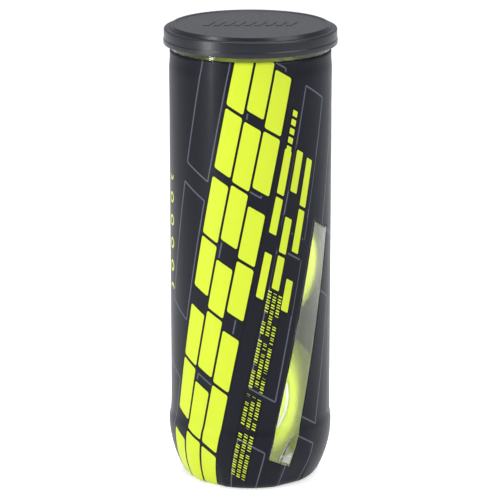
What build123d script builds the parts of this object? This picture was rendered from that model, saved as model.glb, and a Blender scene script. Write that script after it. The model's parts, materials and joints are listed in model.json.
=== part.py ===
from build123d import *
from math import atan2, cos, degrees, pi, sin, sqrt
import os

# Pressurised can of three balls: a clear blow-moulded PET body in a printed sleeve, an aluminium
# pull end seamed to its neck, and a press-on lid. Millimetres. The origin is the middle of the
# floor that the can stands on, +Z is up, and the front of the can faces -Y.

# ---------------------------------------------------------------- driving dimensions
# balls
BALL_COUNT = 3
BALL_DIAMETER = 65.0
FELT = 3.0                # felt thickness
CORE_WALL = 3.3           # rubber wall of the hollow core
SEAM_WIDTH = 1.8          # cement line between the two felt panels
SEAM_SINK = 0.5           # cement line below the felt
SEAM_WAVE = 0.28          # how far the seam swings, as a share of the radius
SEAM_POINTS = 48
BALL_GAP = 0.2            # between stacked balls, and under the lowest
BALL_TURNS = ((25, 40, 10), (70, 15, 130), (115, 65, 250))   # degrees about X, Y, Z

# PET body
BALL_WALL_GAP = 3.2       # between a ball and the wall
WALL = 0.6
SHOULDER_STEP = 0.3       # the neck is this much narrower than the body
SHOULDER_RUN = 5.0
NECK_HEIGHT = 11.7        # shoulder to seam top
HEEL_HEIGHT = 25.0
HEEL_SWELL = 0.6          # the heel is this much wider than the body
HEEL_LAND = 2.0
SWELL_RUN = 4.0
TOE_INSET = 10.9          # heel wall to the outer edge of a foot's pad
TOE_BEND = 6.0
PAD_WIDTH = 2.0
HUB_RISE = 3.6            # middle of the base above the floor
FOOT_COUNT = 5
STRAP_OVERSHOOT = 3.7     # the sphere that the straps follow is this much larger than the wall
STRAP_BEND = 8.0          # half width of the valley between two feet

# printed sleeve and its clear window
SLEEVE = 0.2
SLEEVE_FOOT = 0.6         # lower edge above the floor
SLEEVE_TOP_GAP = 8.0      # upper edge below the seam top
WINDOW_TURN = 41.0        # degrees from the front, towards +X
WINDOW_WIDTH = 10.7
WINDOW_FOOT = 13.9        # middle of the lower end above the floor
WINDOW_LENGTH = 108.5
WINDOW_LEAN = 0.215       # sideways run per unit of height
WINDOW_END_DROP = 5.5     # fall of each end towards +X
WINDOW_SHIFT = -0.2       # middle of the window from its turn line

# aluminium end
METAL = 0.3
METAL_CREASE = 0.12       # inside radius of a bend in the metal
PET_CREASE = 0.05         # inside radius of the turned-down neck
HEADSPACE = 1.4           # top ball to the bottom of the countersink
SEAM_DEPTH = 6.0          # seam top to the bottom of the countersink
SEAM_HEIGHT = 3.0
HOOK_GAP = 0.3            # end of the PET hook above the seam's bottom turn
COMPOUND = 0.5            # sealing compound above the cover hook
CHUCK_TAPER = 0.5
COUNTERSINK_WIDTH = 0.7
PANEL_RISE = 0.8          # panel above the bottom of the countersink
LEDGE = 0.9               # countersink to the score
SCORE_GAP = 0.15

# tear panel with its rivet and ring pull
BEAD_RISE = 0.5
BEAD_WIDTH = 1.6
BEAD_SLOPE = 0.4
BEAD_INSET = 1.6          # panel edge to the bead
TAB_INSET = 4.6           # panel edge to the tip of the nose
TAB_NOSE = 1.5            # nose tip to the bend line
TAB_THICK = 1.2
TAB_EDGE = 0.4            # rounding of the curled edge
TAB_NOSE_CORNER = 5.0
TAB_RING_RADIUS = 9.6
TAB_LENGTH = 27.6
FINGER_RADIUS = 7.0
TONGUE_WIDTH = 7.0
TONGUE_LENGTH = 6.6
TONGUE_GAP = 0.8          # clear slot round the tongue
TONGUE_BEND_GAP = 0.3     # tongue to nose, across the bend line
RIVET_INSET = 3.6         # bend line to the middle of the rivet
RIVET_SHANK = 1.6
RIVET_HEAD = 2.8
RIVET_BOSS = 2.6
RIVET_HEAD_THICK = 0.5
RIVET_FIT = 0.05
NOSE_SWING_GAP = 0.15     # nose to panel when the ring stands upright

# lid
LID_FIT = 0.35            # skirt to seam
LID_WALL = 1.25
LID_TOP = 1.2
LID_BAND = 0.2            # the lower band of the skirt stands out by this
LID_BAND_HEIGHT = 2.6
LID_SKIRT = 7.1
PLATEAU_INSET = 3.45      # skirt to plateau edge
PLATEAU_RISE = 1.6
PLATEAU_DRAFT = 0.55
SNAP_DEPTH = 0.2
SNAP_HEIGHT = 1.4
SNAP_DROP = 0.4           # snap bead below the seam
LID_EDGE = 0.5

# ---------------------------------------------------------------- sizes that follow
ball_radius = BALL_DIAMETER / 2
core_radius = ball_radius - FELT
ball_pitch = BALL_DIAMETER + BALL_GAP

body_inner = ball_radius + BALL_WALL_GAP
body_radius = body_inner + WALL
heel_radius = body_radius + HEEL_SWELL
neck_radius = body_radius - SHOULDER_STEP
neck_inner = neck_radius - WALL
toe_radius = heel_radius - TOE_INSET
heel_bend = (TOE_INSET**2 + HEEL_HEIGHT**2 - 2 * HEEL_HEIGHT * TOE_BEND) / (2 * (TOE_INSET - TOE_BEND))
heel_turn = degrees(atan2(HEEL_HEIGHT - TOE_BEND, heel_bend - TOE_INSET))
strap_radius = body_radius + STRAP_OVERSHOOT
strap_centre = HUB_RISE + strap_radius

ball_heights = [HUB_RISE + WALL + BALL_GAP + ball_radius + n * ball_pitch for n in range(BALL_COUNT)]
ball_top = ball_heights[-1] + ball_radius
countersink_bottom = ball_top + HEADSPACE
seam_top = countersink_bottom + SEAM_DEPTH
seam_bottom = seam_top - SEAM_HEIGHT
flange_top = seam_top - METAL
shoulder_low = seam_top - NECK_HEIGHT - SHOULDER_RUN
sleeve_top = seam_top - SLEEVE_TOP_GAP

cover_hook = neck_radius + METAL / 2
body_hook = neck_radius + METAL + WALL / 2
seam_radius = neck_radius + METAL + WALL + METAL
chuck = neck_inner - METAL / 2
metal_bend = METAL / 2 + METAL_CREASE
pet_bend = WALL / 2 + PET_CREASE
panel_level = countersink_bottom + METAL / 2 + PANEL_RISE
countersink_outer = chuck - CHUCK_TAPER
countersink_inner = countersink_outer - COUNTERSINK_WIDTH
score_radius = countersink_inner - LEDGE
panel_radius = score_radius - SCORE_GAP

panel_top = panel_level + METAL / 2
nose_tip = -(panel_radius - TAB_INSET)
bend_line = nose_tip + TAB_NOSE
bend_height = panel_top + TAB_NOSE + NOSE_SWING_GAP + METAL / 2
tab_bottom = bend_height - METAL / 2
rivet_place = bend_line + RIVET_INSET

lid_inner = seam_radius + LID_FIT
lid_radius = lid_inner + LID_WALL
lid_ring_top = seam_top + LID_TOP
lid_top = lid_ring_top + PLATEAU_RISE
lid_bottom = lid_ring_top - LID_SKIRT
plateau_radius = lid_radius - PLATEAU_INSET


def save(part, name):
    """Label a finished piece and write it."""
    part.label = name
    export_step(part, f"parts/{name}.step")


os.makedirs("parts", exist_ok=True)


# ---------------------------------------------------------------- PET body
def can_profile(inset, top):
    """Half section of the can, a solid one, with its skin moved inwards by inset."""
    with BuildLine() as outline:
        hub = Line((0, top), (0, HUB_RISE + inset))
        flank = Line(hub @ 1, (toe_radius - PAD_WIDTH, inset))
        pad = Line(flank @ 1, (toe_radius, inset))
        toe = JernArc(pad @ 1, (1, 0), TOE_BEND - inset, 90 - heel_turn)
        heel = JernArc(toe @ 1, toe % 1, heel_bend - inset, heel_turn)
        land = Line(heel @ 1, heel @ 1 + Vector(0, HEEL_LAND))
        swell = ease(land @ 1, -HEEL_SWELL, SWELL_RUN)
        wall = Line(swell @ 1, (body_radius - inset, shoulder_low))
        shoulder = ease(wall @ 1, -SHOULDER_STEP, SHOULDER_RUN)
        neck = Line(shoulder @ 1, (neck_radius - inset, top))
        Line(neck @ 1, (0, top))
    return outline


def ease(start, step, run):
    """A smooth S that moves a wall sideways by step over a height of run."""
    middle = start + Vector(0, run / 2)
    return Bezier(start, middle, middle + Vector(step, 0), start + Vector(step, run))


def turned_can(inset, top):
    """The can as a solid of revolution, without the valleys of its base."""
    with BuildPart() as can:
        with BuildSketch(Plane.XZ):
            add(can_profile(inset, top).line)
            make_face()
        revolve(axis=Axis.Z)
    return can.part


def valleys(inset):
    """The grooves between the feet, each a quarter turn from the hub up to the wall."""
    with BuildPart() as groove:
        with BuildSketch(Plane.YZ):
            with Locations((0, strap_centre - strap_radius - STRAP_BEND)):
                Circle(STRAP_BEND + inset)
        revolve(axis=Axis((0, 0, strap_centre), (0, -1, 0)), revolution_arc=90)
    with BuildPart() as star:
        with PolarLocations(0, FOOT_COUNT, start_angle=-90 + 180 / FOOT_COUNT):
            add(groove.part)
    return star.part


with BuildPart() as can_space:
    add(turned_can(WALL, seam_bottom))
    add(valleys(WALL), mode=Mode.SUBTRACT)

with BuildPart() as can_body:
    add(turned_can(0, seam_bottom))
    add(valleys(0), mode=Mode.SUBTRACT)
    add(can_space.part, mode=Mode.SUBTRACT)
    # the neck turns outwards and down, and its end is the hook that the metal folds round
    with BuildSketch(Plane.XZ):
        with BuildLine():
            FilletPolyline(
                (neck_inner + WALL / 2, seam_bottom),
                (neck_inner + WALL / 2, flange_top - WALL / 2),
                (body_hook, flange_top - WALL / 2),
                (body_hook, seam_bottom + METAL + HOOK_GAP),
                radius=pet_bend,
            )
        trace(line_width=WALL)
    revolve(axis=Axis.Z)
save(can_body.part, "can_body")


# ---------------------------------------------------------------- sleeve and window
with BuildPart() as film:
    add(turned_can(-SLEEVE, sleeve_top))
    add(turned_can(0, sleeve_top), mode=Mode.SUBTRACT)
    # it ends round the outside of the feet, just above the floor
    with BuildSketch(Plane.XY.offset(SLEEVE_FOOT)):
        Circle(heel_radius + SLEEVE)
    extrude(amount=-2 * SLEEVE_FOOT, mode=Mode.SUBTRACT)
    with BuildSketch(Plane.XY):
        Circle(toe_radius)
    extrude(amount=HEEL_HEIGHT, mode=Mode.SUBTRACT)

window_plane = Plane(
    origin=(0, 0, WINDOW_FOOT),
    x_dir=Vector(1, 0, 0).rotate(Axis.Z, WINDOW_TURN),
    z_dir=Vector(0, -1, 0).rotate(Axis.Z, WINDOW_TURN),
)
with BuildPart() as window_block:
    with BuildSketch(window_plane):
        with BuildLine():
            low = Vector(WINDOW_SHIFT - WINDOW_LEAN * WINDOW_LENGTH / 2, 0)
            high = low + Vector(WINDOW_LEAN * WINDOW_LENGTH, WINDOW_LENGTH)
            half = Vector(WINDOW_WIDTH / 2, -WINDOW_END_DROP / 2)
            Polyline(low - half, low + half, high + half, high - half, close=True)
        make_face()
    extrude(amount=2 * heel_radius)

with BuildPart() as label_sleeve:
    add(film.part)
    add(window_block.part, mode=Mode.SUBTRACT)
save(label_sleeve.part, "label_sleeve")

with BuildPart() as label_window:
    add(film.part)
    add(window_block.part, mode=Mode.INTERSECT)
save(label_window.part, "label_window")


# ---------------------------------------------------------------- aluminium end
with BuildPart() as end_ring:
    with BuildSketch(Plane.XZ):
        with BuildLine():
            FilletPolyline(
                (cover_hook, flange_top - WALL - COMPOUND),
                (cover_hook, seam_bottom + METAL / 2),
                (seam_radius - METAL / 2, seam_bottom + METAL / 2),
                (seam_radius - METAL / 2, seam_top - METAL / 2),
                (chuck, seam_top - METAL / 2),
                (chuck, seam_bottom),
                (countersink_outer, countersink_bottom + METAL / 2),
                (countersink_inner, countersink_bottom + METAL / 2),
                (countersink_inner, panel_level),
                (score_radius, panel_level),
                radius=metal_bend,
            )
        trace(line_width=METAL)
    revolve(axis=Axis.Z)
save(end_ring.part, "end_ring")

with BuildPart() as seam_compound:
    with BuildSketch(Plane.XZ):
        with Locations((cover_hook, flange_top - WALL - COMPOUND / 2)):
            RectangleRounded(METAL, COMPOUND, 2 * PET_CREASE)
    revolve(axis=Axis.Z)
save(seam_compound.part, "seam_compound")

with BuildPart() as tear_panel:
    bead_outer = panel_radius - BEAD_INSET
    bead_inner = bead_outer - 2 * BEAD_SLOPE - BEAD_WIDTH
    with BuildSketch(Plane.XZ):
        with BuildLine():
            Polyline(
                (0, panel_level),
                (bead_inner, panel_level),
                (bead_inner + BEAD_SLOPE, panel_level + BEAD_RISE),
                (bead_outer - BEAD_SLOPE, panel_level + BEAD_RISE),
                (bead_outer, panel_level),
                (panel_radius, panel_level),
            )
        trace(line_width=METAL)
    revolve(axis=Axis.Z)
    # the rivet is drawn up from the panel itself: boss, shank and spread head
    for radius, low, high in (
        (RIVET_BOSS, panel_level, tab_bottom),
        (RIVET_SHANK, tab_bottom, tab_bottom + METAL),
        (RIVET_HEAD, tab_bottom + METAL, tab_bottom + METAL + RIVET_HEAD_THICK),
    ):
        with BuildSketch(Plane.XY.offset(low)):
            with Locations((0, rivet_place)):
                Circle(radius)
        extrude(amount=high - low)
save(tear_panel.part, "tear_panel")

with BuildPart() as tab_tongue:
    with BuildSketch(Plane.XY.offset(tab_bottom)):
        with Locations((0, bend_line + TONGUE_LENGTH / 2)):
            RectangleRounded(TONGUE_WIDTH, TONGUE_LENGTH, TONGUE_GAP)
        with Locations((0, rivet_place)):
            Circle(RIVET_SHANK + RIVET_FIT, mode=Mode.SUBTRACT)
    extrude(amount=METAL)
save(tab_tongue.part, "tab_tongue")

with BuildPart() as pull_tab:
    ring_middle = nose_tip + TAB_LENGTH - TAB_RING_RADIUS
    slot_low = bend_line - TONGUE_BEND_GAP
    slot_length = TONGUE_LENGTH + TONGUE_BEND_GAP + TONGUE_GAP
    with BuildSketch(Plane.XY.offset(tab_bottom)):
        with Locations((0, (nose_tip + ring_middle) / 2)):
            blank = Rectangle(2 * TAB_RING_RADIUS, ring_middle - nose_tip)
        fillet(blank.vertices().group_by(Axis.Y)[0], TAB_NOSE_CORNER)
        with Locations((0, ring_middle)):
            Circle(TAB_RING_RADIUS)
    extrude(amount=TAB_THICK)
    fillet(pull_tab.edges().filter_by(Plane.XY), TAB_EDGE)
    with BuildSketch(Plane.XY.offset(tab_bottom)):
        with Locations((0, ring_middle)):
            Circle(FINGER_RADIUS)
        with Locations((0, slot_low + slot_length / 2)):
            RectangleRounded(TONGUE_WIDTH + 2 * TONGUE_GAP, slot_length, TONGUE_GAP)
    extrude(amount=TAB_THICK, mode=Mode.SUBTRACT)
save(pull_tab.part, "pull_tab")


# ---------------------------------------------------------------- lid
with BuildPart() as lid:
    band_top = lid_bottom + LID_BAND_HEIGHT
    snap_top = seam_bottom - SNAP_DROP
    with BuildSketch(Plane.XZ):
        with BuildLine():
            Polyline(
                (0, lid_top),
                (plateau_radius, lid_top),
                (plateau_radius + PLATEAU_DRAFT, lid_ring_top),
                (lid_radius, lid_ring_top),
                (lid_radius, band_top),
                (lid_radius + LID_BAND, band_top - LID_BAND),
                (lid_radius + LID_BAND, lid_bottom),
                (lid_inner, lid_bottom),
                (lid_inner, snap_top - SNAP_HEIGHT),
                (lid_inner - SNAP_DEPTH, snap_top - SNAP_HEIGHT / 2),
                (lid_inner, snap_top),
                (lid_inner, seam_top),
                (plateau_radius - LID_TOP + PLATEAU_DRAFT, seam_top),
                (plateau_radius - LID_TOP, lid_top - LID_TOP),
                (0, lid_top - LID_TOP),
                close=True,
            )
        make_face()
    revolve(axis=Axis.Z)
    rims = lid.edges().filter_by(GeomType.CIRCLE)
    fillet(rims.filter_by(lambda e: e.radius == lid_radius and e.center().Z > band_top), LID_EDGE)
save(lid.part, "lid")


# ---------------------------------------------------------------- balls
def seam_line(radius, side):
    """The closed seam of a ball on a sphere of this radius, moved sideways by an angle."""
    wave = SEAM_WAVE
    lobe = 1 - wave
    lift = sqrt(lobe * wave)
    points = []
    for step in range(SEAM_POINTS):
        t = 2 * pi * step / SEAM_POINTS
        spot = Vector(
            lobe * cos(t) + wave * cos(3 * t),
            lobe * sin(t) - wave * sin(3 * t),
            2 * lift * sin(2 * t),
        )
        along = Vector(
            -lobe * sin(t) - 3 * wave * sin(3 * t),
            lobe * cos(t) - 3 * wave * cos(3 * t),
            4 * lift * cos(2 * t),
        )
        across = spot.cross(along).normalized()
        points.append((spot + across * side).normalized() * radius)
    return Wire(Edge.make_spline(points, periodic=True))


def seam_cut(side):
    """A thin cone-like sheet through the seam, from inside the felt to outside it."""
    rims = [seam_line(core_radius - FELT, side), seam_line(ball_radius + FELT, side)]
    return Shell.make_loft(rims, ruled=True)


def ball_layer(outer, inner):
    """A hollow sphere split along both edges of the seam: lower panel, seam strip, upper panel."""
    with BuildPart() as layer:
        Sphere(outer)
        Sphere(inner, mode=Mode.SUBTRACT)
        for side in (-SEAM_WIDTH / BALL_DIAMETER, SEAM_WIDTH / BALL_DIAMETER):
            split(bisect_by=seam_cut(side), keep=Keep.BOTH)
    return layer.solids().sort_by(lambda solid: solid.bounding_box().center().Z)


def core_half(keep):
    """One moulded rubber half-shell of the core."""
    with BuildPart() as half:
        Sphere(core_radius)
        Sphere(core_radius - CORE_WALL, mode=Mode.SUBTRACT)
        split(bisect_by=Plane.XY, keep=keep)
    return half.part


felt_low, _, felt_high = ball_layer(ball_radius, core_radius)
_, seam_strip, _ = ball_layer(ball_radius - SEAM_SINK, core_radius)
ball_pieces = {
    "core_lower": core_half(Keep.BOTTOM),
    "core_upper": core_half(Keep.TOP),
    "felt_a": felt_low,
    "felt_b": felt_high,
    "seam": seam_strip,
}
for number, (height, turn) in enumerate(zip(ball_heights, BALL_TURNS), start=1):
    for kind, shape in ball_pieces.items():
        with BuildPart() as ball_piece:
            with Locations(Location((0, 0, height), turn)):
                add(shape)
        save(ball_piece.part, f"ball_{number}_{kind}")
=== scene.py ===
import json
from math import acos, atan2, cos, hypot, pi, radians, sin, sqrt, tan

import bpy
import numpy as np
from mathutils import Matrix, Vector, noise


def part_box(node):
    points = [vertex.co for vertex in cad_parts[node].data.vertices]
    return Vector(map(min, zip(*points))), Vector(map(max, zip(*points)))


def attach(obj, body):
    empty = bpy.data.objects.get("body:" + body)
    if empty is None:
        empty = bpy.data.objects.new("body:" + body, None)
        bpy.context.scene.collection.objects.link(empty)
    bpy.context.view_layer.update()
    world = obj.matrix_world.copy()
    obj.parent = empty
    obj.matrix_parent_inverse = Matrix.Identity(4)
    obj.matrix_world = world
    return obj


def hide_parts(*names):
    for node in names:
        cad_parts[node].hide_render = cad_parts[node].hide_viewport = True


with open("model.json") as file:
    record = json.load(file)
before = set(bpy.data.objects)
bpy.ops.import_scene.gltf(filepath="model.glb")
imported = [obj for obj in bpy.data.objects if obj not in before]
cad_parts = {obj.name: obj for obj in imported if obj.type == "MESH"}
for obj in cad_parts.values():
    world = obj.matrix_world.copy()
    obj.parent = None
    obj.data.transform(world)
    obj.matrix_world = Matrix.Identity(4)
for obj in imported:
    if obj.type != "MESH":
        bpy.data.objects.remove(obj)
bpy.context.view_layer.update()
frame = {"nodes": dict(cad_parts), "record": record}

# A can of three felt balls: clear PET can in a printed shrink film, aluminium end, press-on lid.
# Metres. The can stands on the floor with its axis on Z, and its front faces -Y.

MM = 0.001
TURN = 2 * pi

# ---------------------------------------------------------------- sizes read from the frame
sleeve_low, sleeve_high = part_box("label_sleeve")
lid_low, lid_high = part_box("lid")
end_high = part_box("end_ring")[1]

SLEEVE = 0.2 * MM                 # film thickness in the frame
FILM = 0.14 * MM                  # film thickness that shows, so that a thin gap stays behind it
HEEL_SWELL = 0.6 * MM
heel_radius = sleeve_high.x - SLEEVE
wall_radius = heel_radius - HEEL_SWELL

# PET can, below and above its straight wall
WALL = 0.6 * MM
NECK_HEIGHT = 11.7 * MM
SHOULDER_RUN = 5 * MM
SHOULDER_STEP = 0.3 * MM
SWELL_RUN = 4 * MM
HEEL_HEIGHT = 25 * MM
HEEL_LAND = 2 * MM
TOE_BEND = 6 * MM
PAD_WIDTH = 2 * MM
HUB_RISE = 3.6 * MM
FOOT_COUNT = 5
VALLEY_HALF = 8 * MM              # half width of the valley between two feet
STRAP_OVERSHOOT = 3.7 * MM
CREASE_SOFTNESS = 0.012           # how gently a valley runs into its feet
toe_radius = heel_radius - 10.9 * MM
shoulder_low = end_high.z - NECK_HEIGHT - SHOULDER_RUN
neck_radius = wall_radius - SHOULDER_STEP
strap_radius = wall_radius + STRAP_OVERSHOOT
strap_centre = HUB_RISE + strap_radius

# balls
BALL_TURNS = ((25, 40, 10), (70, 15, 130), (115, 65, 250))   # degrees about X, Y, Z
SEAM_WAVE = 0.28                  # how far the seam swings, as a share of the radius
SEAM_WIDTH = 1.8 * MM
SEAM_SINK = 0.75 * MM
SEAM_ROLL = 1.7 * MM              # width over which the felt rolls down into the seam
ROLL_SHARE = 0.98                 # how much of a quarter circle that roll is
FELT = 3.0 * MM
FELT_WALL = 0.96                  # share of the felt that is drawn, clear of the core
BALL_CELLS = 52                   # mesh cells along a quarter of the ball
EDGE_REACH = 0.62                 # cells from a seam's edge within which a point moves onto it

# nap of the felt
NAP = {"Density": 620000.0, "Length": 1.15 * MM, "Thickness": 0.035 * MM, "Tilt": 1.25}

# clear window in the film, in the label's slanted coordinate
LEAN = 0.223                      # sideways run of the window per unit of height
WINDOW_LEFT = 4.4 * MM
WINDOW_RIGHT = 17.0 * MM
WINDOW_LOW = 13.9 * MM
WINDOW_HIGH = 122.4 * MM
WINDOW_END_SLOPE = 0.44           # fall of each end per unit across
WINDOW_COLUMNS = 13
REST_COLUMNS = 224
LOW_ROWS, WINDOW_ROWS, HIGH_ROWS = 20, 78, 52
EDGE_WANDER = 0.12 * MM           # unevenness of the film's cut edges

# aluminium seam
METAL = 0.3 * MM
SEAM_HEIGHT = 3.0 * MM

# lid
LID_BAND = 0.2 * MM
LID_BAND_HEIGHT = 2.6 * MM
LID_FIT = 0.35 * MM
LID_WALL = 1.2 * MM
LEDGE_RISE = 1.2 * MM
PLATEAU_INSET = 3.45 * MM
PLATEAU_DRAFT = 0.55 * MM
FIELD_SINK = 0.28 * MM            # middle of the plateau below its rim
CEILING_SINK = 0.2 * MM
SNAP_DROP = 1.1 * MM              # snap bead below the seam
SNAP_DEPTH = 0.2 * MM
SNAP_HALF = 0.7 * MM
RIB_COUNT = 9
RIB_PITCH = 4.6 * MM
RIB_LONG = 8.6 * MM
RIB_WIDE = 2.5 * MM
RIB_LEAN = 0.35
RIB_EDGE = 0.14 * MM
RIB_LEVELS = ((-0.1 * MM, 0), (0.1 * MM, 0), (0.22 * MM, RIB_EDGE))   # height over the field, inset


# ---------------------------------------------------------------- mesh helpers
def make_piece(name, points, faces, finish, sharp=None):
    """A mesh object at the origin, smooth shaded, with creases over the sharp angle in degrees."""
    mesh = bpy.data.meshes.new(name)
    mesh.from_pydata([tuple(p) for p in points], [], faces)
    mesh.update()
    mesh.shade_smooth()
    if sharp:
        mesh.set_sharp_from_angle(angle=radians(sharp))
    mesh.materials.append(finish)
    piece = bpy.data.objects.new(name, mesh)
    bpy.context.scene.collection.objects.link(piece)
    return piece


def settle(piece, body, slot, *nodes):
    """The piece moves with a body and stands for CAD nodes; the slot is not used."""
    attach(piece, body)
    if nodes:
        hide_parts(*nodes)
    return piece


def fillet_path(corners, steps=5):
    """Points (radius, height) along a path whose corners are rounded by their third number."""
    path = []
    for index, (r, z, bend) in enumerate(corners):
        here = Vector((r, z))
        if not bend or index in (0, len(corners) - 1):
            path.append(here)
            continue
        before = (Vector(corners[index - 1][:2]) - here).normalized()
        after = (Vector(corners[index + 1][:2]) - here).normalized()
        half = acos(max(-1, min(1, before.dot(after)))) / 2
        reach = bend / tan(half)
        centre = here + (before + after).normalized() * bend / sin(half)
        start, end = here + before * reach - centre, here + after * reach - centre
        for step in range(steps + 1):
            path.append(centre + start.slerp(end, step / steps) * bend)
    return [tuple(p) for p in path]


def divided(path, length):
    """The same path with its long runs cut into shorter ones."""
    cut = [path[0]]
    for (r0, z0), (r1, z1) in zip(path, path[1:]):
        count = max(1, round(hypot(r1 - r0, z1 - z0) / length))
        cut += [(r0 + (r1 - r0) * n / count, z0 + (z1 - z0) * n / count) for n in range(1, count + 1)]
    return cut


def revolve(section, columns, shape=None):
    """Points and faces of a section turned about Z; a section that ends on the axis is closed there."""
    points, rings = [], []
    for r, z in section:
        if r < 1e-7:
            rings.append([len(points)] * columns)
            points.append((0, 0, z))
            continue
        rings.append(list(range(len(points), len(points) + columns)))
        for column in range(columns):
            angle = TURN * column / columns
            spot = shape(r, z, angle) if shape else (r, z)
            points.append((spot[0] * cos(angle), spot[0] * sin(angle), spot[1]))
    faces = []
    for low, high in zip(rings, rings[1:]):
        for column in range(columns):
            after = (column + 1) % columns
            loop = [low[column], low[after], high[after], high[column]]
            loop = [p for n, p in enumerate(loop) if p != loop[n - 1]]
            if len(loop) > 2:
                faces.append(loop)
    return points, faces


# ---------------------------------------------------------------- shader helpers
class Val:
    """A shader value. Python operators on it add Math nodes to its material."""

    def __init__(self, finish, socket):
        self.finish, self.socket = finish, socket

    def math(self, operation, *others):
        return self.finish.math(operation, self, *others)

    def __add__(self, other):
        return self.math("ADD", other)

    def __sub__(self, other):
        return self.math("SUBTRACT", other)

    def __rsub__(self, other):
        return self.finish.math("SUBTRACT", other, self)

    def __mul__(self, other):
        return self.math("MULTIPLY", other)

    def __truediv__(self, other):
        return self.math("DIVIDE", other)

    def __abs__(self):
        return self.math("ABSOLUTE")

    __radd__ = __add__
    __rmul__ = __mul__

    def floor(self):
        return self.math("FLOOR")

    def least(self, other):
        return self.math("MINIMUM", other)

    def most(self, other):
        return self.math("MAXIMUM", other)


class Finish:
    """A material and the few calls that fill its node tree."""

    def __init__(self, name):
        self.material = bpy.data.materials.new(name)
        self.material.use_nodes = True
        self.tree = self.material.node_tree
        self.tree.nodes.clear()
        self.place = self.output("TexCoord", "Object")

    def node(self, kind, settings=None, inputs=None):
        made = self.tree.nodes.new("ShaderNode" + kind)
        for name, value in (settings or {}).items():
            setattr(made, name, value)
        for name, value in (inputs or {}).items():
            socket = made.inputs[name]
            if isinstance(value, Val):
                self.tree.links.new(value.socket, socket)
            else:
                socket.default_value = value
        return made

    def output(self, kind, name, settings=None, inputs=None):
        return Val(self, self.node(kind, settings, inputs).outputs[name])

    def math(self, operation, *values):
        return self.output("Math", 0, {"operation": operation}, dict(enumerate(values)))

    def split(self):
        """The three coordinates of a point on the piece, in millimetres."""
        scaled = self.output("VectorMath", "Vector", {"operation": "SCALE"},
                             {"Vector": self.place, "Scale": 1 / MM})
        apart = self.node("SeparateXYZ", None, {"Vector": scaled})
        return [Val(self, apart.outputs[axis]) for axis in "XYZ"]

    def join(self, x, y, z=0.0):
        return self.output("CombineXYZ", "Vector", None, {"X": x, "Y": y, "Z": z})

    def grain(self, scale, detail=2.0, stretch=(1, 1, 1), rough=0.5):
        """Noise from 0 to 1, with scale features per millimetre."""
        spot = self.output("Mapping", "Vector", None,
                           {"Vector": self.place, "Scale": [s / MM for s in stretch]})
        return self.output("TexNoise", "Fac", None,
                           {"Vector": spot, "Scale": scale, "Detail": detail, "Roughness": rough})

    def blend(self, factor, low, high):
        """A colour between two colours."""
        return self.output("Mix", 2, {"data_type": "RGBA"}, {0: factor, 6: low, 7: high})

    def mask(self, distance, edge=0.12):
        """1 inside a shape whose signed distance is negative, 0 outside."""
        return self.output("Math", 0, {"operation": "MULTIPLY_ADD", "use_clamp": True},
                           {0: distance, 1: -1 / edge, 2: 0.5})

    def bump(self, height, distance, strength=1.0):
        """A bump of this depth in millimetres."""
        return self.output("Bump", "Normal", None,
                           {"Height": height, "Distance": distance * MM, "Strength": strength})

    def surface(self, shader):
        self.node("OutputMaterial", None, {"Surface": shader})
        return self.material

    def plain(self, inputs):
        return self.output("BsdfPrincipled", "BSDF", None, inputs)


def grey(value):
    return (value, value, value, 1)


def rounded_box(across, along, half_width, half_length, bend):
    """Signed distance to a box with rounded corners."""
    dx = across - (half_width - bend)
    dy = along - (half_length - bend)
    outside = (dx.most(0.0).math("POWER", 2.0) + dy.most(0.0).math("POWER", 2.0)).math("SQRT")
    return outside + dx.most(dy).least(0.0) - bend


# ---------------------------------------------------------------- finishes
CHARCOAL = (0.0050, 0.0056, 0.0095, 1)
CHARCOAL_DEEP = (0.0022, 0.0024, 0.0040, 1)
LIME = (0.430, 0.510, 0.022, 1)
LIME_WORN = (0.390, 0.470, 0.028, 1)
LINE_GREY = (0.062, 0.068, 0.088, 1)
PRINT_LEAN = 0.2                  # run of the print's strokes per unit of height
PRINT_CUT = 0.54                  # slope of the strokes' ends

# strokes of the print in millimetres: columns from left, cells from low, short is the least share of a cell
BOLD = dict(left=-47.3, spacing=9.4, count=3, width=8.3, low=-22.0, pitch=29.4, cells=7,
            gap=1.5, bend=0.9, short=0.80, seed=4.0)
NARROW = dict(left=-17.8, spacing=6.4, count=3, width=3.6, low=84.0, pitch=23.5, cells=3,
              gap=1.6, bend=0.5, short=0.6, seed=9.0)
BLOCKS = dict(left=-16.2, spacing=3.4, count=1, width=2.5, low=150.0, pitch=3.9, cells=5,
              gap=1.3, bend=0.3, short=1.0, seed=2.0)
DASHES = dict(left=-11.75, spacing=2.7, count=3, width=1.75, low=3.0, pitch=1.25, cells=70,
              gap=0.55, bend=0.15, short=0.7, seed=5.0)
OUTLINES = dict(left=-68.2, spacing=25.6, count=9, width=13.4, low=-34.0, pitch=74.0, cells=4,
                gap=9.0, bend=0.5, short=0.8, seed=7.0)
DASH_BREAK = 44.0                 # middle of the gap between the two blocks of dashes
DASH_BREAK_HALF = 1.6
OUTLINE_HALF = 0.33               # half the width of an outline's line
OUTLINE_CLEAR = 1.1               # outlines stop this far from the lime
HALO = 0.55                       # dark edge round the lime
RING_TURN = -47.6                 # column of rings, round the can
RING_PITCH = 10.6
RING_RADIUS = 2.1
RING_INK = 0.5
RINGS_MIDDLE = 116.6
RINGS_HALF = 26.5


def slanted(finish):
    """Label coordinates in millimetres: round the can, up it, across the lean, and along it."""
    x, y, z = finish.split()
    around = finish.math("ARCTAN2", x, -1 * y) * (wall_radius / MM)
    across = around - z * PRINT_LEAN
    return around, z, across, z + across * PRINT_CUT


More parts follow.
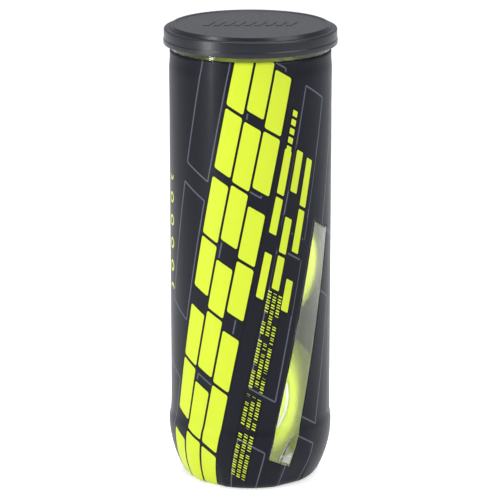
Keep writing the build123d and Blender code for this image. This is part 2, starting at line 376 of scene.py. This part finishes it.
def strokes(finish, across, along, *, left, spacing, count, width, low, pitch, cells, gap, bend,
            short, seed):
    """Signed distance to rows of slanted strokes whose lengths differ from cell to cell."""
    column = ((across - left) / spacing).floor()
    cell = ((along - low) / pitch).floor()
    draw = finish.output("TexWhiteNoise", "Value", {"noise_dimensions": "2D"},
                         {"Vector": finish.join(column + seed, cell + seed)})
    spare = (1 - draw) * (pitch * (1 - short) / 2)
    half = (pitch - gap) / 2 - spare
    side = (column + cell).math("FLOORED_MODULO", 2.0) * 2 - 1
    local_across = abs(across - left - (column + 0.5) * spacing)
    local_along = abs(along - low - (cell + 0.5) * pitch - side * spare)
    box = rounded_box(local_across, local_along * 0.88, width / 2, half * 0.88, bend)
    middle = left + spacing * count / 2
    reach = abs(across - middle) - spacing * count / 2
    span = abs(along - (low + pitch * cells / 2)) - pitch * cells / 2
    return box.most(reach).most(span)


def film_print(finish):
    """Base colour of the film: charcoal with lime strokes, small dashes and thin grey outlines."""
    around, up, across, along = slanted(finish)
    main = strokes(finish, across, along, **BOLD)
    second = strokes(finish, across, along, **NARROW)
    blocks = strokes(finish, across, along, **BLOCKS)
    lines = strokes(finish, across, along, **DASHES)
    row = ((across - DASHES["left"]) / DASHES["spacing"]).floor()
    breaks = finish.output("TexNoise", "Fac", None,
                           {"Vector": finish.join(row * 3.1, along * 0.21), "Scale": 1.0, "Detail": 1.0})
    lines = lines.most((0.42 - breaks) * 30).most(DASH_BREAK_HALF - abs(along - DASH_BREAK))
    lime = main.least(second).least(blocks).least(lines)

    outline = strokes(finish, across, along, **OUTLINES)
    clear_of_lime = finish.mask(OUTLINE_CLEAR - main.least(second), 0.3)
    traced = finish.mask(abs(outline) - OUTLINE_HALF) * clear_of_lime

    ring_up = up - ((up / RING_PITCH).floor() + 0.5) * RING_PITCH
    from_ring = ((around - RING_TURN).math("POWER", 2.0) + ring_up.math("POWER", 2.0)).math("SQRT")
    ring = abs(from_ring - RING_RADIUS) - RING_INK
    rings = ring.most(abs(up - RINGS_MIDDLE) - RINGS_HALF)

    worn = finish.grain(0.05, 3.0)
    ink = finish.blend(worn, LIME, LIME_WORN)
    halo = finish.mask(lime - HALO)
    base = finish.blend(halo, CHARCOAL, CHARCOAL_DEEP)
    base = finish.blend(traced, base, LINE_GREY)
    return finish.blend(finish.mask(lime.least(rings)), base, ink)


def printed_film():
    finish = Finish("printed_film")
    ripple = finish.grain(0.045, 2.0, (1, 1, 0.35))
    haze = finish.grain(0.9, 3.0)
    return finish.surface(finish.plain({
        "Base Color": film_print(finish),
        "Roughness": haze * 0.10 + 0.33,
        "Specular IOR Level": 0.10,
        "Coat Weight": 0.02,
        "Coat Roughness": 0.12,
        "Normal": finish.bump(ripple, 0.35, 0.5),
    }))


def film_back():
    """The white ink behind the print, on the film's inner face."""
    finish = Finish("film_back")
    patchy = finish.grain(0.2, 3.0)
    return finish.surface(finish.plain({
        "Base Color": finish.blend(patchy, grey(0.70), grey(0.78)),
        "Roughness": 0.4,
    }))


def clear_finish(name, ior, roughness, tint, ripple):
    """A clear plastic that lets lamps through to what is behind it."""
    finish = Finish(name)
    wave = finish.grain(0.08, 2.0, (1, 1, 0.4))
    clear = finish.plain({
        "Base Color": tint,
        "Roughness": roughness,
        "IOR": ior,
        "Transmission Weight": 1.0,
        "Normal": finish.bump(wave, ripple, 0.6),
    })
    through = finish.output("BsdfTransparent", "BSDF", None, {"Color": tint})
    lamp = finish.output("LightPath", "Is Shadow Ray")
    return finish.surface(finish.output("MixShader", "Shader", None, {0: lamp, 1: clear, 2: through}))


def lid_plastic():
    finish = Finish("lid_plastic")
    fine = finish.grain(2.6, 2.0)
    coarse = finish.grain(0.06, 3.0)
    flow = finish.grain(0.5, 4.0)
    colour = finish.blend(coarse, (0.0055, 0.0060, 0.0090, 1), (0.0095, 0.0100, 0.0140, 1))
    return finish.surface(finish.plain({
        "Base Color": colour,
        "Roughness": flow * 0.16 + 0.24,
        "Specular IOR Level": 0.32,
        "Normal": finish.bump(fine, 0.035, 0.7),
    }))


def aluminium():
    finish = Finish("aluminium")
    brush = finish.grain(1.2, 4.0, (1, 0.03, 1))
    stain = finish.grain(0.05, 3.0)
    colour = finish.blend(stain, (0.80, 0.81, 0.82, 1), (0.70, 0.71, 0.73, 1))
    return finish.surface(finish.plain({
        "Base Color": colour,
        "Metallic": 1.0,
        "Roughness": brush * 0.14 + 0.20,
        "Normal": finish.bump(brush, 0.012, 0.6),
    }))


def compound():
    finish = Finish("compound")
    lumps = finish.grain(1.4, 3.0)
    colour = finish.blend(lumps, (0.20, 0.25, 0.19, 1), (0.29, 0.34, 0.27, 1))
    return finish.surface(finish.plain({
        "Base Color": colour,
        "Roughness": lumps * 0.2 + 0.5,
        "Normal": finish.bump(lumps, 0.05),
    }))


def ball_rubber():
    finish = Finish("ball_rubber")
    lumps = finish.grain(0.9, 4.0)
    colour = finish.blend(lumps, (0.075, 0.068, 0.060, 1), (0.115, 0.105, 0.092, 1))
    return finish.surface(finish.plain({
        "Base Color": colour,
        "Roughness": lumps * 0.25 + 0.55,
        "Normal": finish.bump(lumps, 0.12),
    }))


def ball_cement():
    finish = Finish("ball_cement")
    lumps = finish.grain(0.8, 4.0)
    colour = finish.blend(lumps, (0.56, 0.60, 0.42, 1), (0.72, 0.75, 0.60, 1))
    return finish.surface(finish.plain({
        "Base Color": colour,
        "Roughness": lumps * 0.2 + 0.6,
        "Normal": finish.bump(lumps, 0.12),
    }))


FELT_LIGHT = (0.62, 0.74, 0.030, 1)
FELT_DEEP = (0.40, 0.52, 0.015, 1)


def ball_felt():
    finish = Finish("ball_felt")
    swirl = finish.grain(0.55, 5.0, rough=0.65)
    fibre = finish.output("TexVoronoi", "Distance", {"feature": "DISTANCE_TO_EDGE"}, {
        "Vector": finish.output("Mapping", "Vector", None,
                                {"Vector": finish.place, "Scale": [1.6 / MM, 1.6 / MM, 0.7 / MM]}),
        "Scale": 1.0})
    tuft = finish.grain(0.16, 3.0)
    colour = finish.blend(swirl, FELT_DEEP, FELT_LIGHT)
    colour = finish.blend(tuft * 0.35, colour, (0.70, 0.80, 0.09, 1))
    return finish.surface(finish.plain({
        "Base Color": colour,
        "Roughness": 0.95,
        "Specular IOR Level": 0.15,
        "Sheen Weight": 0.35,
        "Sheen Roughness": 0.5,
        "Sheen Tint": (0.85, 0.92, 0.35, 1),
        # The felt glows faintly in its own colour: painted light that brightens it inside the dim can.
        "Emission Color": colour,
        "Emission Strength": 0.12,
        "Normal": finish.bump(swirl * 0.7 + fibre * 0.5, 0.45),
    }))


def felt_fibre():
    finish = Finish("felt_fibre")
    tuft = finish.grain(0.9, 2.0)
    colour = finish.blend(tuft, (0.50, 0.62, 0.02, 1), (0.78, 0.88, 0.12, 1))
    return finish.surface(finish.plain({
        "Base Color": colour,
        "Roughness": 0.85,
        "Specular IOR Level": 0.2,
        # The fibres glow faintly in their own colour: painted light, as on the felt, that brightens them
        # inside the dim can.
        "Emission Color": colour,
        "Emission Strength": 0.12,
    }))


def pale_floor():
    finish = Finish("pale_floor")
    soft = finish.grain(0.002, 2.0)
    return finish.surface(finish.plain({
        "Base Color": finish.blend(soft, grey(0.86), grey(0.88)),
        "Roughness": 0.9,
        "Specular IOR Level": 0.1,
        "Emission Color": grey(1.0),
        "Emission Strength": 0.42,
    }))


FINISHES = {
    "lid_plastic": lid_plastic(),
    "clear_pet": clear_finish("clear_pet", 1.30, 0.03, (0.985, 0.99, 0.985, 1), 0.05),
    "printed_film": printed_film(),
    "clear_film": clear_finish("clear_film", 1.25, 0.05, (0.995, 0.995, 0.99, 1), 0.10),
    "aluminium": aluminium(),
    "compound": compound(),
    "ball_rubber": ball_rubber(),
    "ball_felt": ball_felt(),
    "ball_cement": ball_cement(),
}
FIBRE = felt_fibre()
BACKING = film_back()


# ---------------------------------------------------------------- camera, lights and floor
def make_camera():
    lens = bpy.data.cameras.new("camera")
    lens.lens = 200.6
    lens.sensor_width = 36.0
    lens.shift_x = -0.001
    lens.clip_start = 0.05
    camera = bpy.data.objects.new("camera", lens)
    camera.location = (0, -1.227, 0.434)
    camera.rotation_euler = (radians(75), 0, 0)
    bpy.context.scene.collection.objects.link(camera)
    bpy.context.scene.camera = camera


def soft_light(name, place, target, width, height, power, colour=(1, 1, 1)):
    """A soft box that points at a target."""
    light = bpy.data.lights.new(name, "AREA")
    light.shape = "RECTANGLE"
    light.size, light.size_y = width, height
    light.energy = power
    light.color = colour
    box = bpy.data.objects.new(name, light)
    box.location = place
    box.rotation_euler = (Vector(target) - Vector(place)).to_track_quat("-Z", "Y").to_euler()
    box.visible_camera = False
    bpy.context.scene.collection.objects.link(box)


def make_studio():
    world = bpy.data.worlds.new("studio")
    bpy.context.scene.world = world
    world.use_nodes = True
    world.node_tree.nodes["Background"].inputs["Color"].default_value = (0.92, 0.95, 1.0, 1)
    world.node_tree.nodes["Background"].inputs["Strength"].default_value = 0.55
    middle = (0, 0, 0.10)
    soft_light("key_right", (0.75, -0.55, 0.75), middle, 0.7, 0.9, 9.0, (0.93, 0.96, 1.0))
    soft_light("strip_left", (-0.62, -0.42, 0.36), middle, 0.10, 0.8, 6.0)
    soft_light("top", (0.05, 0.15, 1.10), middle, 0.9, 0.7, 8.0)
    half = 4.0
    floor = make_piece("floor", [(-half, -half, 0), (half, -half, 0), (half, half, 0), (-half, half, 0)],
                       [(0, 1, 2, 3)], pale_floor())
    bpy.context.scene.view_settings.view_transform = "Standard"


# ---------------------------------------------------------------- PET can
def ease(start, step, run, steps=8):
    """A smooth S between two heights."""
    curve = []
    for n in range(steps + 1):
        t = n / steps
        curve.append((start[0] + step * t * t * (3 - 2 * t), start[1] + run * t))
    return curve


def can_profile(inset, top):
    """Half section of the can from the hub to its neck, with its skin moved inwards by inset."""
    run = toe_radius + TOE_BEND
    rise = HEEL_HEIGHT - TOE_BEND
    gap = heel_radius - run
    heel_bend = ((heel_radius - toe_radius)**2 + HEEL_HEIGHT**2 - 2 * HEEL_HEIGHT * TOE_BEND) / (2 * gap)
    heel_turn = atan2(rise, heel_bend - (heel_radius - toe_radius))
    toe_turn = pi / 2 - heel_turn
    hub_run = toe_radius - PAD_WIDTH
    path = []
    for n in range(13):
        t = n / 12
        path.append((hub_run * t, inset + HUB_RISE * (1 + cos(pi * t)) / 2))
    bend = TOE_BEND - inset
    for n in range(11):
        turn = toe_turn * n / 10
        path.append((toe_radius + bend * sin(turn), inset + bend * (1 - cos(turn))))
    bend = heel_bend - inset
    for n in range(1, 17):
        turn = heel_turn * (1 - n / 16)
        path.append((heel_radius - heel_bend + bend * cos(turn), HEEL_HEIGHT - bend * sin(turn)))
    land = (heel_radius - inset, HEEL_HEIGHT + HEEL_LAND)
    path += ease(land, wall_radius - heel_radius, SWELL_RUN)
    path += ease((wall_radius - inset, shoulder_low), -SHOULDER_STEP, SHOULDER_RUN)
    path.append((neck_radius - inset, top))
    return path


def valley_share(r, z, angle, tube):
    """How much nearer to the strap's centre the skin lies in a valley, as a share from 0 to 1."""
    spread = TURN / FOOT_COUNT
    first = -pi / 2 + spread / 2
    off = (angle - first + spread / 2) % spread - spread / 2
    along, side = r * cos(off), r * sin(off)
    reach = hypot(along, z - strap_centre)
    ring = strap_radius + VALLEY_HALF
    a = reach**2 + side**2
    inner = (ring * reach)**2 - a * (ring**2 - tube**2)
    if inner <= 0 or z > strap_centre:
        return 1.0
    share = (ring * reach - sqrt(inner)) / a
    mix = max(0.0, min(1.0, 0.5 + 0.5 * (share - 1) / CREASE_SOFTNESS))
    return min(1.0, share * (1 - mix) + mix - CREASE_SOFTNESS * mix * (1 - mix))


def make_can():
    """The PET shell: petal base, heel, wall, shoulder, neck and the hook inside the seam."""
    columns = 240
    hook_top = end_high.z - METAL
    hook_low = end_high.z - SEAM_HEIGHT + 2 * METAL
    outer = divided(can_profile(0, hook_top - WALL), 3.5 * MM)
    inner = divided(can_profile(WALL, hook_top), 3.5 * MM)
    hook = fillet_path([
        (neck_radius + METAL, hook_top - WALL, 0),
        (neck_radius + METAL, hook_low, 0),
        (neck_radius + METAL + WALL, hook_low, 0),
        (neck_radius + METAL + WALL, hook_top, 0.3 * MM),
        (neck_radius - WALL, hook_top, 0),
    ])

    def petal(r, z, angle):
        tube = VALLEY_HALF + (WALL if (r, z) in inner_spots else 0)
        share = valley_share(r, z, angle, tube)
        return r * share, strap_centre + (z - strap_centre) * share

    inner_spots = set(inner)
    section = outer + hook + inner[::-1]
    points, faces = revolve(section, columns, petal)
    can = make_piece("can_body", points, faces, FINISHES["clear_pet"], 40)
    settle(can, "can", "clear_pet", "can_body")


# ---------------------------------------------------------------- shrink film
def film_radius(r, z, theta):
    """Radius of the film's outside at an angle from the front: it bridges the valleys and ripples."""
    reach = hypot(r, z - strap_centre)
    notch = VALLEY_HALF**2 - (reach - strap_radius - VALLEY_HALF)**2
    if notch > 0 and z < HEEL_HEIGHT + 4 * MM:
        half = sqrt(notch) / r
        spread = TURN / FOOT_COUNT
        off = theta % spread - spread / 2
        if abs(off) < half:
            r = r * cos(half) / cos(off)
    spot = Vector((36 * sin(theta), 36 * cos(theta), z / MM * 0.5))
    low = max(0.0, 1 - z / (30 * MM))
    soft = 0.05 * MM * noise.noise(spot * 0.11)
    pucker = 0.10 * MM * low * noise.noise(Vector((spot.x * 0.45, spot.y * 0.45, z / MM * 0.12)))
    side = max(0.0, -sin(theta))**2
    bulge = 0.42 * MM * side * np.exp(-((z - 26 * MM) / (7 * MM))**2)
    return r + soft + pucker + bulge


def window_tilt(c, s):
    """How far a row of the film's mesh is tipped, so that it follows the window's sloping ends."""
    middle = (WINDOW_LEFT + WINDOW_RIGHT) / 2
    half = (WINDOW_RIGHT - WINDOW_LEFT) / 2
    off = c - middle
    fade = max(0.0, 1 - max(0.0, abs(off) - half) / (4 * half))
    rise = max(-half, min(half, off))
    lower = min(1.0, s / (9 * MM))
    upper = min(1.0, max(0.0, (165 * MM - s) / (30 * MM)))
    return -WINDOW_END_SLOPE * rise * fade**2 * lower**2 * upper


def make_film():
    """The printed film and, in its slanted window, the clear film."""
    profile = [p for p in divided(can_profile(-SLEEVE, sleeve_high.z), 0.4 * MM)
               if p[0] > toe_radius and p[1] >= sleeve_low.z - 1e-6]
    lengths = np.concatenate([[0], np.cumsum([hypot(b[0] - a[0], b[1] - a[1])
                                              for a, b in zip(profile, profile[1:])])])
    heights = np.array([p[1] for p in profile])
    radii = np.array([p[0] for p in profile])
    around = TURN * wall_radius
    columns = list(np.linspace(WINDOW_LEFT, WINDOW_RIGHT, WINDOW_COLUMNS + 1))
    columns += list(np.linspace(WINDOW_RIGHT, WINDOW_LEFT + around, REST_COLUMNS + 1)[1:-1])
    s_low, s_high = np.interp([WINDOW_LOW, WINDOW_HIGH], heights, lengths)
    rows = list(np.linspace(0, s_low, LOW_ROWS)[:-1])
    window_first = len(rows)
    rows += list(np.linspace(s_low, s_high, WINDOW_ROWS))
    window_last = len(rows) - 1
    rows += list(np.linspace(s_high, lengths[-1], HIGH_ROWS)[1:])
    points = []
    for s in rows:
        for c in columns:
            off = c if c < WINDOW_LEFT + around / 2 else c - around
            here = min(lengths[-1], max(0.0, s + window_tilt(off, s)))
            z, r = np.interp(here, lengths, heights), np.interp(here, lengths, radii)
            theta = (c + LEAN * z) / wall_radius
            if s in (rows[0], rows[-1]):
                z += EDGE_WANDER * noise.noise(Vector((4 * sin(theta), 4 * cos(theta), s / MM)))
            r = film_radius(r, z, theta)
            points.append((r * sin(theta), -r * cos(theta), z))
    count = len(columns)
    printed, clear = [], []
    for row in range(len(rows) - 1):
        for column in range(count):
            after = (column + 1) % count
            face = (row * count + column, row * count + after,
                    (row + 1) * count + after, (row + 1) * count + column)
            seen_through = column < WINDOW_COLUMNS and window_first <= row < window_last
            (clear if seen_through else printed).append(face)
    for name, faces, slot in (("label_sleeve", printed, "printed_film"),
                              ("label_window", clear, "clear_film")):
        used = sorted({p for face in faces for p in face})
        order = {p: n for n, p in enumerate(used)}
        film = make_piece(name, [points[p] for p in used], [[order[p] for p in face] for face in faces],
                          FINISHES[slot])
        wall = film.modifiers.new("film", "SOLIDIFY")
        wall.thickness = FILM
        wall.offset = -1
        if slot == "printed_film":
            film.data.materials.append(BACKING)
            wall.material_offset = 1
        settle(film, "can", slot, name)


# ---------------------------------------------------------------- balls
def seam_samples(count=1200):
    """Points on the ball's closed seam, on a unit sphere, and the direction across it at each."""
    lobe = 1 - SEAM_WAVE
    lift = sqrt(lobe * SEAM_WAVE)
    t = np.linspace(0, TURN, count, endpoint=False)
    spots = np.stack([lobe * np.cos(t) + SEAM_WAVE * np.cos(3 * t),
                      lobe * np.sin(t) - SEAM_WAVE * np.sin(3 * t),
                      2 * lift * np.sin(2 * t)], 1)
    along = np.stack([-lobe * np.sin(t) - 3 * SEAM_WAVE * np.sin(3 * t),
                      lobe * np.cos(t) - 3 * SEAM_WAVE * np.cos(3 * t),
                      4 * lift * np.cos(2 * t)], 1)
    across = np.cross(spots, along)
    return spots, across / np.linalg.norm(across, axis=1)[:, None]


def cube_sphere(count):
    """Unit directions and quads of a cube blown up to a sphere."""
    index, spots, quads = {}, [], []

    def corner(i, j, k):
        key = (i, j, k)
        if key not in index:
            index[key] = len(spots)
            spots.append([tan((n / count * 2 - 1) * pi / 4) for n in key])
        return index[key]

    for axis in range(3):
        for side in (0, count):
            for i in range(count):
                for j in range(count):
                    quad = []
                    for a, b in ((i, j), (i + 1, j), (i + 1, j + 1), (i, j + 1)):
                        key = [0, 0, 0]
                        key[axis], key[(axis + 1) % 3], key[(axis + 2) % 3] = side, a, b
                        quad.append(corner(*key))
                    quads.append(quad if side else quad[::-1])
    spots = np.array(spots)
    return spots / np.linalg.norm(spots, axis=1)[:, None], quads


def seam_offsets(directions, radius):
    """Signed distance of each direction from the seam, in metres on the ball, and the way across."""
    spots, across = seam_samples()
    nearest = np.argmax(directions @ spots.T, axis=1)
    ways = across[nearest]
    return np.sum(directions * ways, axis=1) * radius, ways


def ball_meshes(radius):
    """Points and faces of the two felt panels and the seam strip of one unturned ball."""
    directions, quads = cube_sphere(BALL_CELLS)
    offsets, ways = seam_offsets(directions, radius)
    cell = radius * pi / 2 / BALL_CELLS
    half = SEAM_WIDTH / 2
    for side in (-half, half):
        close = np.abs(offsets - side) < cell * EDGE_REACH
        directions[close] += ways[close] * ((side - offsets[close]) / radius)[:, None]
        directions /= np.linalg.norm(directions, axis=1)[:, None]
        offsets[close] = side
    offsets, _ = seam_offsets(directions, radius)
    depth = np.clip((half + SEAM_ROLL - np.abs(offsets)) / SEAM_ROLL, 0, 1)
    felt_radius = radius - SEAM_SINK * (1 - np.sqrt(1 - depth**2 * ROLL_SHARE))
    parts = {"felt_a": [], "felt_b": [], "seam": []}
    for quad in quads:
        middle = offsets[quad].mean()
        if abs(middle) < half * 0.999:
            parts["seam"].append(quad)
        else:
            parts["felt_b" if middle > 0 else "felt_a"].append(quad)
    made = {}
    for kind, faces in parts.items():
        used = sorted({p for face in faces for p in face})
        order = {p: n for n, p in enumerate(used)}
        reach = (radius - SEAM_SINK) * np.ones(len(used)) if kind == "seam" else felt_radius[used]
        made[kind] = (directions[used] * reach[:, None], [[order[p] for p in face] for face in faces])
    return made


def nap_tree():
    """Geometry Nodes that stand short bent fibres on a surface."""
    tree = bpy.data.node_groups.new("felt_nap", "GeometryNodeTree")
    for name, kind in (("Geometry", "Geometry"), ("Density", "Float"), ("Length", "Float"),
                       ("Thickness", "Float"), ("Tilt", "Float"), ("Seed", "Int")):
        tree.interface.new_socket(name, in_out="INPUT", socket_type="NodeSocket" + kind)
    tree.interface.new_socket("Geometry", in_out="OUTPUT", socket_type="NodeSocketGeometry")

    def add(kind, **inputs):
        made = tree.nodes.new(kind)
        for name, value in inputs.items():
            socket = made.inputs[name.replace("_", " ")]
            if isinstance(value, bpy.types.NodeSocket):
                tree.links.new(value, socket)
            else:
                socket.default_value = value
        return made

    given = tree.nodes.new("NodeGroupInput").outputs
    points = add("GeometryNodeDistributePointsOnFaces", Mesh=given["Geometry"],
                 Density=given["Density"], Seed=given["Seed"])
    length, tilt = given["Length"], given["Tilt"]
    half = add("ShaderNodeMath")
    half.operation = "MULTIPLY"
    tree.links.new(length, half.inputs[0])
    half.inputs[1].default_value = 0.55
    bend = add("ShaderNodeCombineXYZ", Z=half.outputs[0])
    tip = add("ShaderNodeCombineXYZ", X=half.outputs[0], Z=length)
    line = add("GeometryNodeCurveQuadraticBezier", Resolution=2, Start=(0, 0, 0),
               Middle=bend.outputs[0], End=tip.outputs[0])
    thread = add("GeometryNodeCurvePrimitiveCircle", Resolution=3, Radius=given["Thickness"])
    fibre = add("GeometryNodeCurveToMesh", Curve=line.outputs[0], Profile_Curve=thread.outputs["Curve"])
    lowest = add("ShaderNodeVectorMath")
    lowest.operation = "SCALE"
    lowest.inputs[0].default_value = (-1, -1, 0)
    tree.links.new(tilt, lowest.inputs["Scale"])
    low_turn = add("ShaderNodeVectorMath")
    low_turn.operation = "ADD"
    tree.links.new(lowest.outputs[0], low_turn.inputs[0])
    low_turn.inputs[1].default_value = (0, 0, -pi)
    highest = add("ShaderNodeVectorMath")
    highest.operation = "SCALE"
    tree.links.new(low_turn.outputs[0], highest.inputs[0])
    highest.inputs["Scale"].default_value = -1
    spin = tree.nodes.new("FunctionNodeRandomValue")
    spin.data_type = "FLOAT_VECTOR"
    tree.links.new(low_turn.outputs[0], spin.inputs[0])
    tree.links.new(highest.outputs[0], spin.inputs[1])
    size = tree.nodes.new("FunctionNodeRandomValue")
    size.data_type = "FLOAT"
    size.inputs[2].default_value = 0.5
    size.inputs[3].default_value = 1.25
    turned = tree.nodes.new("FunctionNodeRotateRotation")
    turned.rotation_space = "LOCAL"
    tree.links.new(points.outputs["Rotation"], turned.inputs[0])
    as_rotation = add("FunctionNodeEulerToRotation", Euler=spin.outputs[0])
    tree.links.new(as_rotation.outputs[0], turned.inputs[1])
    stood = add("GeometryNodeInstanceOnPoints", Points=points.outputs["Points"],
                Instance=fibre.outputs["Mesh"], Rotation=turned.outputs[0], Scale=size.outputs[1])
    real = add("GeometryNodeRealizeInstances", Geometry=stood.outputs[0])
    finished = add("GeometryNodeSetMaterial", Geometry=real.outputs[0], Material=FIBRE)
    out = tree.nodes.new("NodeGroupOutput")
    tree.links.new(finished.outputs[0], out.inputs["Geometry"])
    return tree


def grown(source, name, tree, values):
    """The plain mesh that a node tree makes on a source object, which is then removed."""
    grow = source.modifiers.new("grow", "NODES")
    grow.node_group = tree
    for item in tree.interface.items_tree:
        if item.in_out == "INPUT" and item.name in values:
            grow[item.identifier] = values[item.name]
    bpy.context.view_layer.update()
    shown = source.evaluated_get(bpy.context.evaluated_depsgraph_get())
    mesh = bpy.data.meshes.new_from_object(shown)
    bpy.data.objects.remove(source)
    piece = bpy.data.objects.new(name, mesh)
    bpy.context.scene.collection.objects.link(piece)
    return piece


def core_box(body):
    """Box of a ball's rubber core, which is two half-shells."""
    lows, highs = zip(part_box(f"{body}_core_lower"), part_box(f"{body}_core_upper"))
    return Vector([min(c) for c in zip(*lows)]), Vector([max(c) for c in zip(*highs)])


def make_balls():
    tree = nap_tree()
    low, high = core_box("ball_1")
    parts = ball_meshes((high.x - low.x) / 2 + FELT)
    for number, turn in enumerate(BALL_TURNS, start=1):
        body = f"ball_{number}"
        low, high = core_box(body)
        centre = Vector((0, 0, (low.z + high.z) / 2))
        about = [Matrix.Rotation(radians(angle), 3, axis) for angle, axis in zip(turn, "XYZ")]
        spin = np.array(about[0] @ about[1] @ about[2])
        for kind, (points, faces) in parts.items():
            placed = points @ spin.T + np.array(centre)
            slot = "ball_cement" if kind == "seam" else "ball_felt"
            piece = make_piece(f"{body}_{kind}", placed, faces, FINISHES[slot])
            wall = piece.modifiers.new("wall", "SOLIDIFY")
            wall.thickness = FELT - SEAM_SINK if kind == "seam" else FELT * FELT_WALL
            wall.offset = -1
            settle(piece, body, slot, f"{body}_{kind}")
        felt_points = np.concatenate([parts["felt_a"][0], parts["felt_b"][0]])
        shift = len(parts["felt_a"][0])
        felt_faces = parts["felt_a"][1] + [[p + shift for p in face] for face in parts["felt_b"][1]]
        base = make_piece("nap_base", felt_points @ spin.T + np.array(centre), felt_faces,
                          FINISHES["ball_felt"])
        nap = grown(base, f"{body}_nap", tree, {**NAP, "Seed": number})
        settle(nap, body, "ball_felt")


# ---------------------------------------------------------------- lid
def make_lid():
    """The press-on lid: plateau with a raised rim, flat ledge, skirt with a lower band, snap bead."""
    band_radius = lid_high.x
    skirt = band_radius - LID_BAND
    inner = end_high.x + LID_FIT
    ledge = end_high.z + LEDGE_RISE
    top, bottom = lid_high.z, lid_low.z
    rim = skirt - PLATEAU_INSET
    foot = rim + PLATEAU_DRAFT
    field = top - FIELD_SINK
    ceiling = top - LID_WALL - CEILING_SINK
    band_top = bottom + LID_BAND_HEIGHT
    snap = end_high.z - SEAM_HEIGHT - SNAP_DROP
    section = fillet_path([
        (0, ceiling, 0),
        (rim - LID_WALL, ceiling, 0.6 * MM),
        (foot - LID_WALL, end_high.z, 0.3 * MM),
        (inner, end_high.z, 0.4 * MM),
        (inner, snap + SNAP_HALF, 0.2 * MM),
        (inner - SNAP_DEPTH, snap, 0.4 * MM),
        (inner, snap - SNAP_HALF, 0.2 * MM),
        (inner, bottom, 0.25 * MM),
        (band_radius, bottom, 0.5 * MM),
        (band_radius, band_top - 0.35 * MM, 0.3 * MM),
        (skirt - 0.03 * MM, band_top + 0.1 * MM, 0.12 * MM),
        (skirt, ledge, 0.75 * MM),
        (foot + 0.5 * MM, ledge, 0.1 * MM),
        (foot + 0.25 * MM, ledge - 0.2 * MM, 0.08 * MM),
        (foot - 0.05 * MM, ledge, 0.1 * MM),
        (rim, top, 0.4 * MM),
        (rim - 1.6 * MM, top, 0.25 * MM),
        (rim - 2.1 * MM, field, 0.25 * MM),
        (0, field, 0),
    ])
    points, faces = revolve(divided(section, 4 * MM), 192)

    # a row of slanted raised ribs across the middle of the plateau
    for n in range(RIB_COUNT):
        middle = (n - (RIB_COUNT - 1) / 2) * RIB_PITCH
        first = len(points)
        for rise, shrink in RIB_LEVELS:
            for side, end in ((-1, -1), (1, -1), (1, 1), (-1, 1)):
                y = end * (RIB_LONG / 2 - shrink)
                x = middle + side * (RIB_WIDE / 2 - shrink) + RIB_LEAN * y
                points.append((x, y, field + rise))
        for ring in (0, 4):
            for side in range(4):
                after = (side + 1) % 4
                faces.append([first + ring + side, first + ring + after,
                              first + ring + 4 + after, first + ring + 4 + side])
        faces.append([first + 8, first + 9, first + 10, first + 11])
        faces.append([first + 3, first + 2, first + 1, first])
    lid = make_piece("lid", points, faces, FINISHES["lid_plastic"], 35)
    settle(lid, "lid", "lid_plastic", "lid")


# ---------------------------------------------------------------- what keeps its CAD mesh
def dress_frame():
    """The CAD nodes that show as they are get their finishes."""
    slots = {row["node"]: row["material_slot"] for row in frame["record"]["subparts"]}
    for name, node in frame["nodes"].items():
        if node.hide_render:
            continue
        node.data.materials.clear()
        node.data.materials.append(FINISHES[slots[name]])


make_camera()
make_studio()
make_can()
make_film()
make_balls()
make_lid()
dress_frame()
